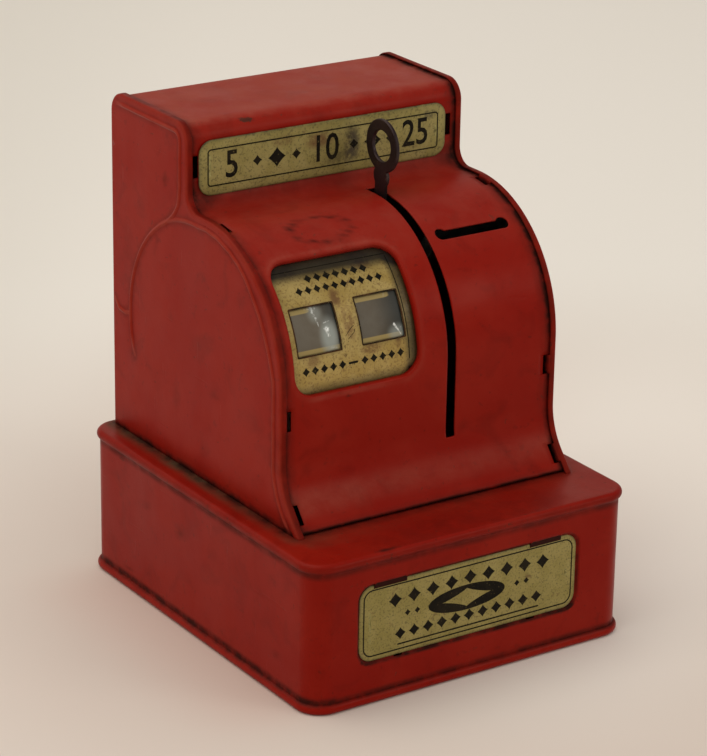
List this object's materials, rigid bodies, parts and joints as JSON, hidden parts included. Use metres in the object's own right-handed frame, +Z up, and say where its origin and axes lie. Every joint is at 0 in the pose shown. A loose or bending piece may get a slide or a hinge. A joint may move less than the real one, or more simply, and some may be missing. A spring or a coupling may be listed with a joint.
{
  "type": "cash register bank",
  "caption": "Toy bank of pressed red steel shaped as a cash register: ring lever, coin slot, amount window, counting wheels, bell and a coin drawer at the back",
  "frame": {"origin": "centre of the rectangle that the base covers, on the surface that it stands on", "axes": "+Z up; the front with the windows, slots and name plate faces -Y; +X is to the right, seen from the front"},
  "size_m": [0.1174, 0.134, 0.1587],
  "materials": {
    "red_paint": "satin, aged",
    "printed_brass": "printed, aged",
    "milky_pane": "crinkled, semi-clear",
    "dark_steel": "blackened",
    "bright_steel": "satin",
    "bell_nickel": "polished",
    "wheel_enamel": "satin"
  },
  "bodies": {
    "housing": {"base_shell": "red_paint", "bottom_plate": "red_paint", "base_nameplate": "printed_brass", "left_side_panel": "red_paint", "right_side_panel": "red_paint", "front_wrap": "red_paint", "back_panel": "red_paint", "sign_plate": "printed_brass", "window_mask": "printed_brass", "dollars_pane": "milky_pane", "cents_pane": "milky_pane", "left_frame": "bright_steel", "mid_frame": "bright_steel", "centre_frame": "bright_steel", "right_frame": "bright_steel", "frame_rods": "bright_steel", "frame_screws": "dark_steel", "coin_chute": "bright_steel", "bell": "bell_nickel", "bell_post": "dark_steel", "drawer_rails": "bright_steel", "bolt_guide": "bright_steel", "lever_spring": "dark_steel", "bolt_spring": "dark_steel"},
    "lever": {"lever_handle": "dark_steel", "lever_shaft": "bright_steel", "drive_arm": "bright_steel", "gate_cam": "bright_steel"},
    "drive_pawl": {"drive_pawl": "bright_steel"},
    "cents_wheel": {"cents_wheel": "wheel_enamel", "cents_ratchet": "bright_steel"},
    "dollars_wheel": {"dollars_wheel": "wheel_enamel", "dollars_ratchet": "bright_steel"},
    "cents_check_pawl": {"cents_check_pawl": "bright_steel"},
    "dollars_check_pawl": {"dollars_check_pawl": "bright_steel"},
    "carry_lever": {"carry_lever": "bright_steel"},
    "bell_hammer": {"bell_hammer": "bright_steel"},
    "coin_gate": {"coin_gate": "bright_steel"},
    "coin_feeler": {"coin_feeler": "bright_steel"},
    "drawer": {"drawer_tray": "bright_steel", "drawer_front": "red_paint"},
    "lock_bolt": {"lock_bolt": "bright_steel"}
  },
  "joints": [
    {"name": "lever_pull", "type": "hinge", "parent": "housing", "child": "lever", "pos_m": [0.0114, 0.0068, 0.0894], "axis": [1, 0, 0], "range_deg": [0, 108], "stiffness_Nm_per_rad": 0.012, "springref_deg": -28.65},
    {"name": "drive_pawl_swing", "type": "hinge", "parent": "lever", "child": "drive_pawl", "pos_m": [-0.0033, 0.02096, 0.10491], "axis": [1, 0, 0], "range_deg": [-4, 9.5], "stiffness_Nm_per_rad": 0.004},
    {"name": "cents_wheel_spin", "type": "hinge", "parent": "housing", "child": "cents_wheel", "pos_m": [-0.0113, 0.0068, 0.0894], "axis": [1, 0, 0], "continuous": true},
    {"name": "dollars_wheel_spin", "type": "hinge", "parent": "housing", "child": "dollars_wheel", "pos_m": [-0.034, 0.0068, 0.0894], "axis": [1, 0, 0], "continuous": true},
    {"name": "cents_check_swing", "type": "hinge", "parent": "housing", "child": "cents_check_pawl", "pos_m": [-0.0033, 0.01102, 0.06883], "axis": [1, 0, 0], "range_deg": [-4, 9.5], "stiffness_Nm_per_rad": 0.004},
    {"name": "dollars_check_swing", "type": "hinge", "parent": "housing", "child": "dollars_check_pawl", "pos_m": [-0.026, 0.01102, 0.06883], "axis": [1, 0, 0], "range_deg": [-4, 9.5], "stiffness_Nm_per_rad": 0.004},
    {"name": "carry_swing", "type": "hinge", "parent": "housing", "child": "carry_lever", "pos_m": [-0.023, 0.00107, 0.0569], "axis": [1, 0, 0], "range_deg": [-8, 2], "stiffness_Nm_per_rad": 0.004},
    {"name": "hammer_swing", "type": "hinge", "parent": "housing", "child": "bell_hammer", "pos_m": [-0.0017, 0.02039, 0.11726], "axis": [1, 0, 0], "range_deg": [0, 12], "stiffness_Nm_per_rad": 0.004, "springref_deg": -5.73},
    {"name": "coin_gate_swing", "type": "hinge", "parent": "housing", "child": "coin_gate", "pos_m": [0.03, 0.03259, 0.06241], "axis": [1, 0, 0], "range_deg": [0, 21.6]},
    {"name": "coin_feeler_swing", "type": "hinge", "parent": "housing", "child": "coin_feeler", "pos_m": [0.02985, 0.00695, 0.0994], "axis": [1, 0, 0], "range_deg": [0, 15], "stiffness_Nm_per_rad": 0.003, "springref_deg": -8.59},
    {"name": "drawer_slide", "type": "slide", "parent": "housing", "child": "drawer", "axis": [0, 1, 0], "range_m": [0, 0.075]},
    {"name": "bolt_slide", "type": "slide", "parent": "housing", "child": "lock_bolt", "axis": [0, 0, 1], "range_m": [-0.005, 0], "stiffness_N_per_m": 50, "springref_m": 0.005, "deforming": ["bolt_spring"]}
  ],
  "couplings": [
    {"joint": "coin_gate_swing", "follows": "lever_pull", "ratio": 0.2}
  ]
}
